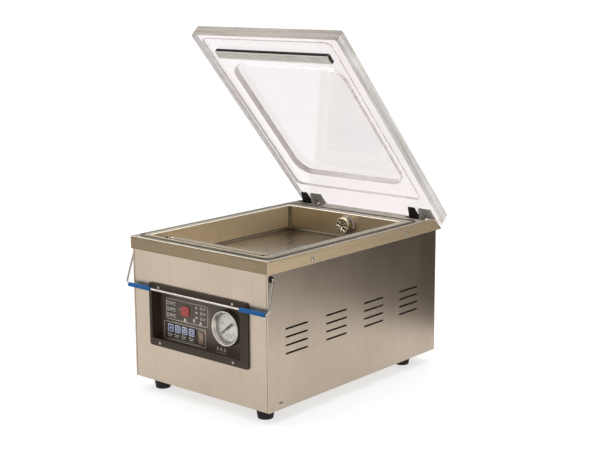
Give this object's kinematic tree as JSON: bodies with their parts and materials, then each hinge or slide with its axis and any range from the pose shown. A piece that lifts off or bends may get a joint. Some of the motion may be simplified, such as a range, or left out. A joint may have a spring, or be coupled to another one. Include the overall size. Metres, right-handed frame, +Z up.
{
  "type": "vacuum packing machine",
  "caption": "Table-top chamber vacuum packing machine: steel case and chamber, hinged clear lid, lifting seal bar, bail handle and recessed control panel with gauge.",
  "frame": {"origin": "centre of the bounding box in X and Y, on the table under the feet, with the lid open as at rest", "axes": "+X to the right of a person facing the control panel, +Y to the back, towards the hinges, +Z up"},
  "size_m": [0.3322, 0.4984, 0.6203],
  "materials": {
    "case_steel": "vertical brushed stainless sheet with a warm grey tone",
    "chamber_steel": "drawn stainless sheet, satin, olive-brown in the shade",
    "bright_steel": "polished stainless",
    "black_rubber": "matt black rubber",
    "black_plastic": "brownish black moulded plastic",
    "panel_plastic": "printed black membrane on a plate",
    "aluminium": "extruded aluminium, satin",
    "silicone": "grey-brown silicone",
    "heating_strip": "flat nickel-chrome strip",
    "seal_cloth": "coated glass-fibre cloth",
    "clear_acrylic": "clear cast acrylic with frosted edges",
    "clear_glass": "clear gauge window",
    "blue_plastic": "blue sleeve, semi-gloss",
    "key_blue": "blue moulded key",
    "key_orange": "brown-orange moulded key",
    "display_red": "red display window",
    "dial_white": "white printed dial",
    "board_green": "green circuit board",
    "motor_paint": "grey-blue paint on cast housing",
    "transformer_copper": "copper winding on a laminated core",
    "brass": "machined brass"
  },
  "bodies": {
    "case": {"base_tray": "case_steel", "front_panel": "case_steel", "side_panel_left": "case_steel", "side_panel_right": "case_steel", "rear_panel": "case_steel", "top_cover": "case_steel", "hinge_bracket_left": "case_steel", "hinge_bracket_right": "case_steel", "chamber": "chamber_steel", "port_flange": "bright_steel", "port_cap": "bright_steel", "hinge_pin_left": "bright_steel", "hinge_pin_right": "bright_steel", "gauge_case": "bright_steel", "foot_front_left": "black_rubber", "foot_front_right": "black_rubber", "foot_rear_left": "black_rubber", "foot_rear_right": "black_rubber", "chamber_gasket": "black_rubber", "bail_grommet_left": "black_rubber", "bail_grommet_right": "black_rubber", "vacuum_hose": "black_rubber", "power_inlet": "black_plastic", "control_bezel": "black_plastic", "control_plate": "panel_plastic", "lift_cylinder_left": "aluminium", "lift_cylinder_right": "aluminium", "vacuum_pump": "aluminium", "gauge_glass": "clear_glass", "display_window": "display_red", "gauge_dial": "dial_white", "control_board": "board_green", "pump_motor": "motor_paint", "transformer": "transformer_copper", "solenoid_valve": "brass"},
    "lid": {"lid": "clear_acrylic", "pressure_bar": "aluminium", "pressure_pad": "silicone", "hinge_arm_left": "bright_steel", "hinge_arm_right": "bright_steel", "hinge_stop_left": "black_rubber", "hinge_stop_right": "black_rubber"},
    "seal_bar": {"seal_bar": "aluminium", "seal_bar_pad": "silicone", "heating_element": "heating_strip", "seal_tape": "seal_cloth", "seal_terminal_left": "black_plastic", "seal_terminal_right": "black_plastic", "lift_rod_left": "bright_steel", "lift_rod_right": "bright_steel"},
    "bail": {"bail_wire": "bright_steel", "bail_sleeve_left": "blue_plastic", "bail_sleeve_right": "blue_plastic"},
    "key_1": {"key_1": "key_blue"},
    "key_2": {"key_2": "key_blue"},
    "key_3": {"key_3": "key_blue"},
    "key_4": {"key_4": "key_blue"},
    "set_key": {"set_key": "key_orange"},
    "gauge_needle": {"gauge_needle": "black_plastic"}
  },
  "joints": [
    {"name": "lid_hinge", "type": "hinge", "parent": "case", "child": "lid", "pos_m": [0, 0.2173, 0.2685], "axis": [1, 0, 0], "range_deg": [0, 48.19]},
    {"name": "seal_bar_lift", "type": "slide", "parent": "case", "child": "seal_bar", "axis": [0, 0, 1], "range_m": [0, 0.0035]},
    {"name": "bail_swing", "type": "hinge", "parent": "case", "child": "bail", "pos_m": [0, -0.2292, 0.241], "axis": [-1, 0, 0], "range_deg": [0, 120]},
    {"name": "key_1_press", "type": "slide", "parent": "case", "child": "key_1", "axis": [0, 1, 0], "range_m": [0, 0.0008], "stiffness_N_per_m": 500, "springref_m": -0.0004},
    {"name": "key_2_press", "type": "slide", "parent": "case", "child": "key_2", "axis": [0, 1, 0], "range_m": [0, 0.0008], "stiffness_N_per_m": 500, "springref_m": -0.0004},
    {"name": "key_3_press", "type": "slide", "parent": "case", "child": "key_3", "axis": [0, 1, 0], "range_m": [0, 0.0008], "stiffness_N_per_m": 500, "springref_m": -0.0004},
    {"name": "key_4_press", "type": "slide", "parent": "case", "child": "key_4", "axis": [0, 1, 0], "range_m": [0, 0.0008], "stiffness_N_per_m": 500, "springref_m": -0.0004},
    {"name": "set_key_press", "type": "slide", "parent": "case", "child": "set_key", "axis": [0, 1, 0], "range_m": [0, 0.0008], "stiffness_N_per_m": 500, "springref_m": -0.0004},
    {"name": "needle_turn", "type": "hinge", "parent": "case", "child": "gauge_needle", "pos_m": [0.05, -0.2167, 0.141], "axis": [0, 1, 0], "range_deg": [0, 258], "stiffness_Nm_per_rad": 0.002}
  ]
}
